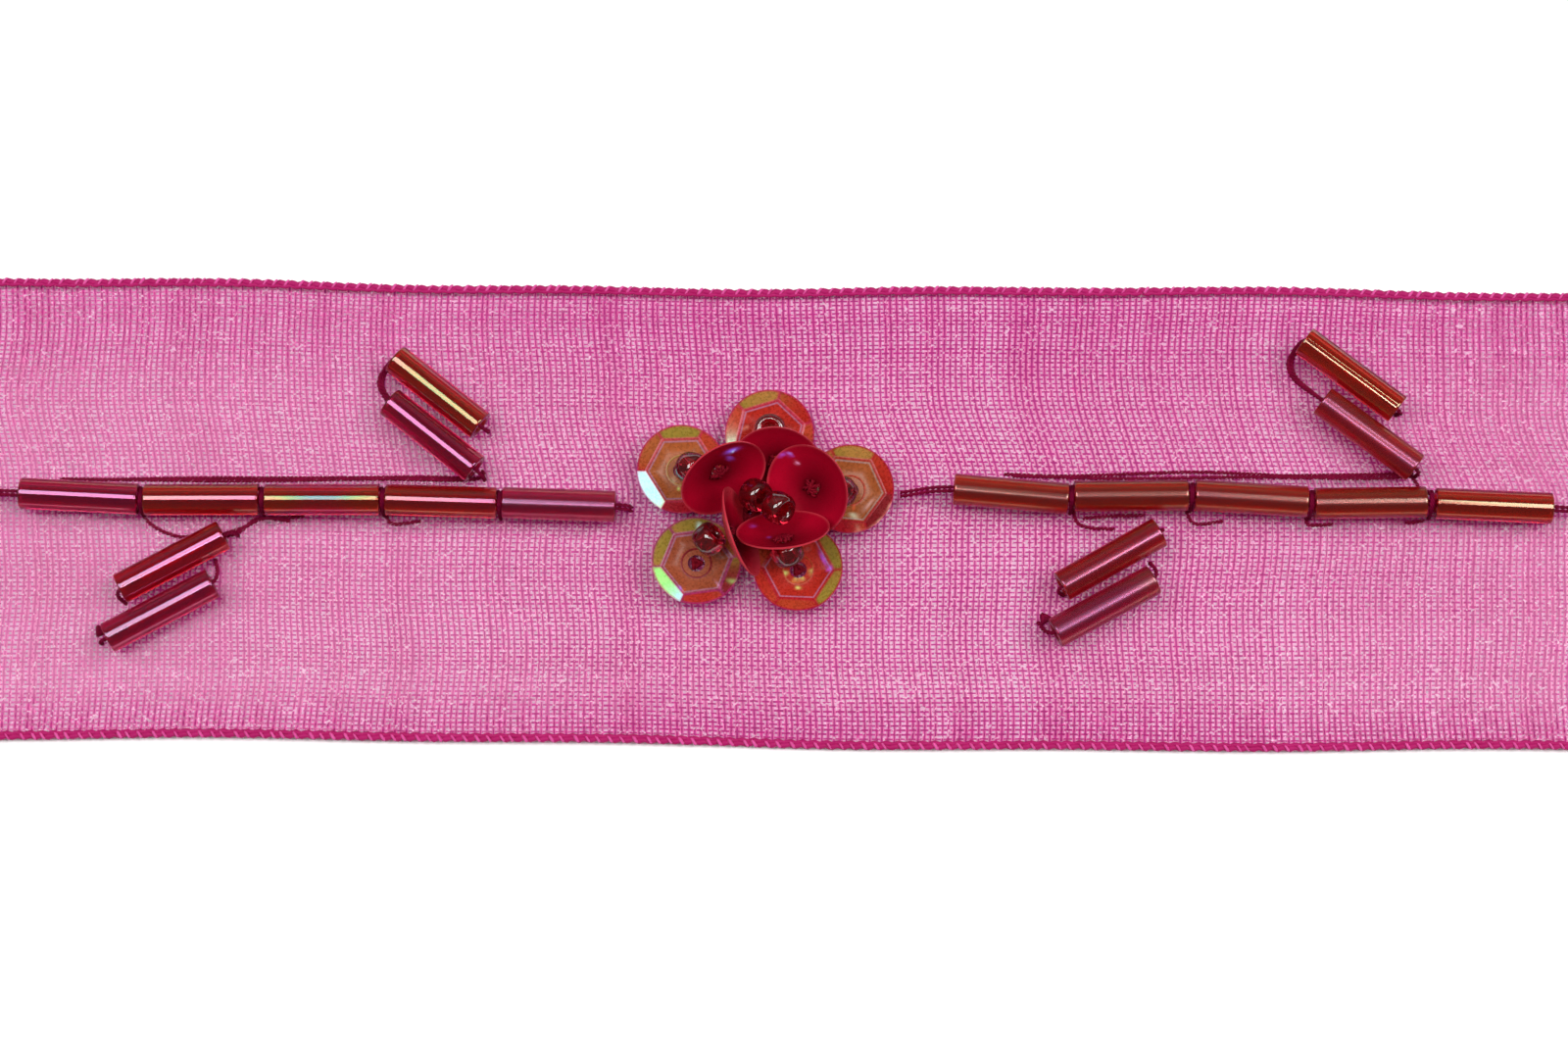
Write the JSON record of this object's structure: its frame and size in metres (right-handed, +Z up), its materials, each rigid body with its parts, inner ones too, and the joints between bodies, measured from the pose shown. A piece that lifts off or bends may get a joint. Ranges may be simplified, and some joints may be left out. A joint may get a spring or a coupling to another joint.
{
  "type": "beaded ribbon trim",
  "caption": "Flat length of sheer woven ribbon with rows of glass bugle beads, slanted leaf beads and a flower of cup sequins and seed beads sewn on top.",
  "frame": {"origin": "middle of the underside, at the surface that the ribbon lies on", "axes": "+X along the ribbon, +Y across it towards the upper selvedge of the picture, +Z up to the beaded side"},
  "size_m": [0.096, 0.0258, 0.0073],
  "materials": {
    "organza": "sheer plain-woven fibre in magenta pink, with glints at the crossings and dense corded edges",
    "thread": "dark crimson sewing thread",
    "bugle_glass": "polished deep red glass with an iridescent coat",
    "seed_glass": "polished deep red glass with an iridescent coat",
    "cup_film": "clear red film with an iridescent gold, green and violet coat",
    "petal_film": "opaque deep red film, softly glossy"
  },
  "bodies": {
    "root": {"ribbon": "organza", "running_thread_left": "thread", "running_thread_right": "thread", "stem_left_1": "bugle_glass", "stem_left_2": "bugle_glass", "stem_left_3": "bugle_glass", "stem_left_4": "bugle_glass", "stem_left_5": "bugle_glass", "stem_right_1": "bugle_glass", "stem_right_2": "bugle_glass", "stem_right_3": "bugle_glass", "stem_right_4": "bugle_glass", "stem_right_5": "bugle_glass", "leaf_left_low_1": "bugle_glass", "leaf_left_low_2": "bugle_glass", "leaf_left_high_1": "bugle_glass", "leaf_left_high_2": "bugle_glass", "leaf_right_low_1": "bugle_glass", "leaf_right_low_2": "bugle_glass", "leaf_right_high_1": "bugle_glass", "leaf_right_high_2": "bugle_glass", "cup_left": "cup_film", "cup_top": "cup_film", "cup_right": "cup_film", "cup_low_left": "cup_film", "cup_low_right": "cup_film", "cup_left_seed": "seed_glass", "cup_top_seed": "seed_glass", "cup_right_seed": "seed_glass", "cup_low_left_seed": "seed_glass", "cup_low_right_seed": "seed_glass", "petal_right": "petal_film", "petal_back": "petal_film", "petal_top_left": "petal_film", "petal_front_left": "petal_film", "petal_front": "petal_film", "seed_centre_1": "seed_glass", "seed_centre_2": "seed_glass"}
  },
  "joints": []
}
